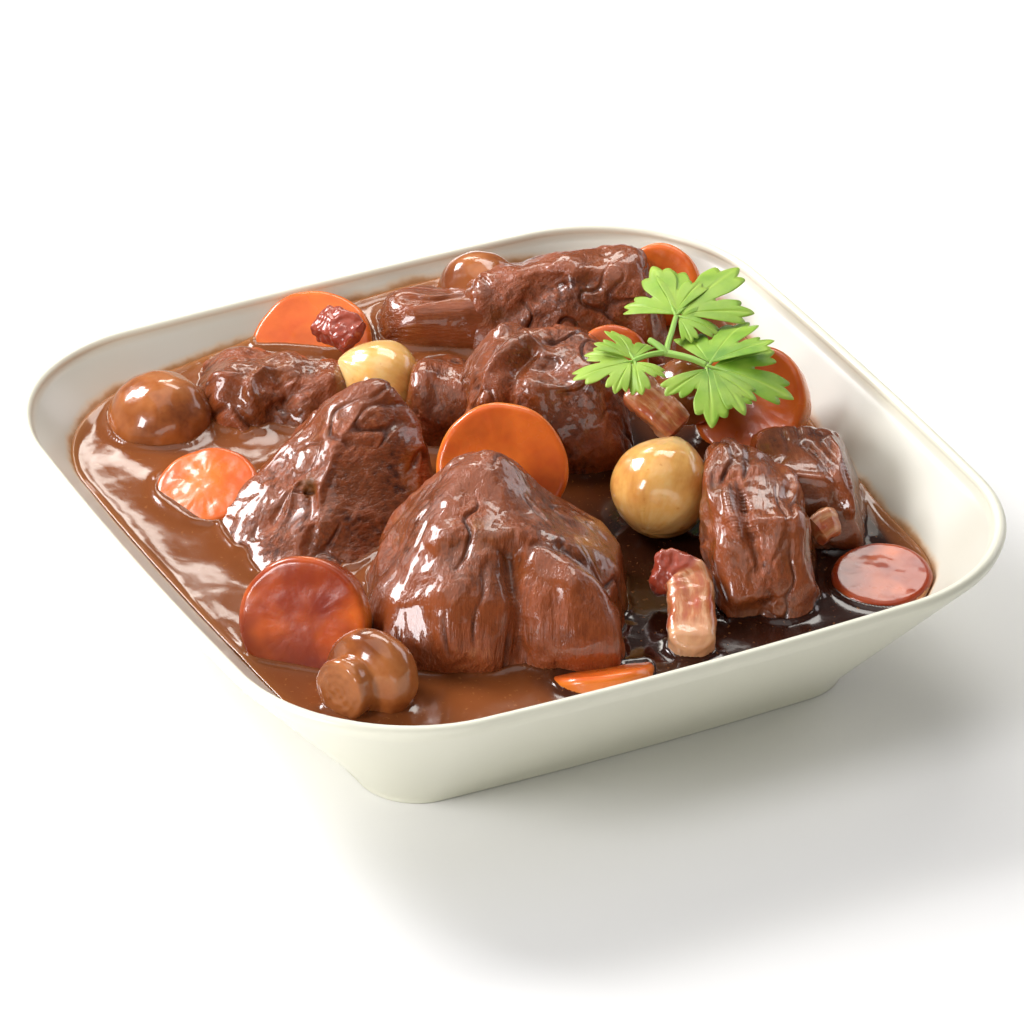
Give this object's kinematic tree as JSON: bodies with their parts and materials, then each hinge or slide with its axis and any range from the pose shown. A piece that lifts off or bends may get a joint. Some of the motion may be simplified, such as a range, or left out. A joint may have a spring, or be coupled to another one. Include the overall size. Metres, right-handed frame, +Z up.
{
  "type": "beef stew in a square bowl",
  "caption": "Braised beef chunks, round carrot slices, mushrooms, pearl onions and bacon strips in brown gravy with a parsley sprig, in a white rounded-square porcelain bowl.",
  "frame": {"origin": "middle of the bowl's underside, on the plane of its foot rim", "axes": "+Z up; +X and +Y along the bowl's two sides; the parsley lies towards +X"},
  "size_m": [0.1998, 0.1998, 0.0665],
  "materials": {
    "porcelain": "glossy cream-white glaze",
    "gravy": "glossy, thick brown sauce",
    "braised_beef": "moist, sauce-coated",
    "cooked_carrot": "moist",
    "cooked_mushroom": "moist, smooth",
    "cooked_onion": "moist, smooth",
    "cooked_bacon": "moist, fibrous",
    "parsley": "fresh leaf"
  },
  "bodies": {
    "root": {"bacon_back_left": "cooked_bacon", "bacon_front_right": "cooked_bacon", "bacon_middle_right": "cooked_bacon", "bacon_right": "cooked_bacon", "beef_back": "braised_beef", "beef_back_left": "braised_beef", "beef_back_roll": "braised_beef", "beef_front": "braised_beef", "beef_left": "braised_beef", "beef_middle": "braised_beef", "beef_right": "braised_beef", "beef_right_back": "braised_beef", "beef_small_middle": "braised_beef", "bowl": "porcelain", "carrot_back_left": "cooked_carrot", "carrot_back_right": "cooked_carrot", "carrot_front": "cooked_carrot", "carrot_front_left": "cooked_carrot", "carrot_left": "cooked_carrot", "carrot_middle": "cooked_carrot", "carrot_right_corner": "cooked_carrot", "carrot_right_wall": "cooked_carrot", "carrot_under_sprig": "cooked_carrot", "mushroom_back": "cooked_mushroom", "mushroom_front": "cooked_mushroom", "mushroom_left": "cooked_mushroom", "mushroom_under_sprig": "cooked_mushroom", "onion_back_left": "cooked_onion", "onion_right": "cooked_onion", "parsley_sprig": "parsley", "sauce": "gravy"}
  },
  "joints": []
}
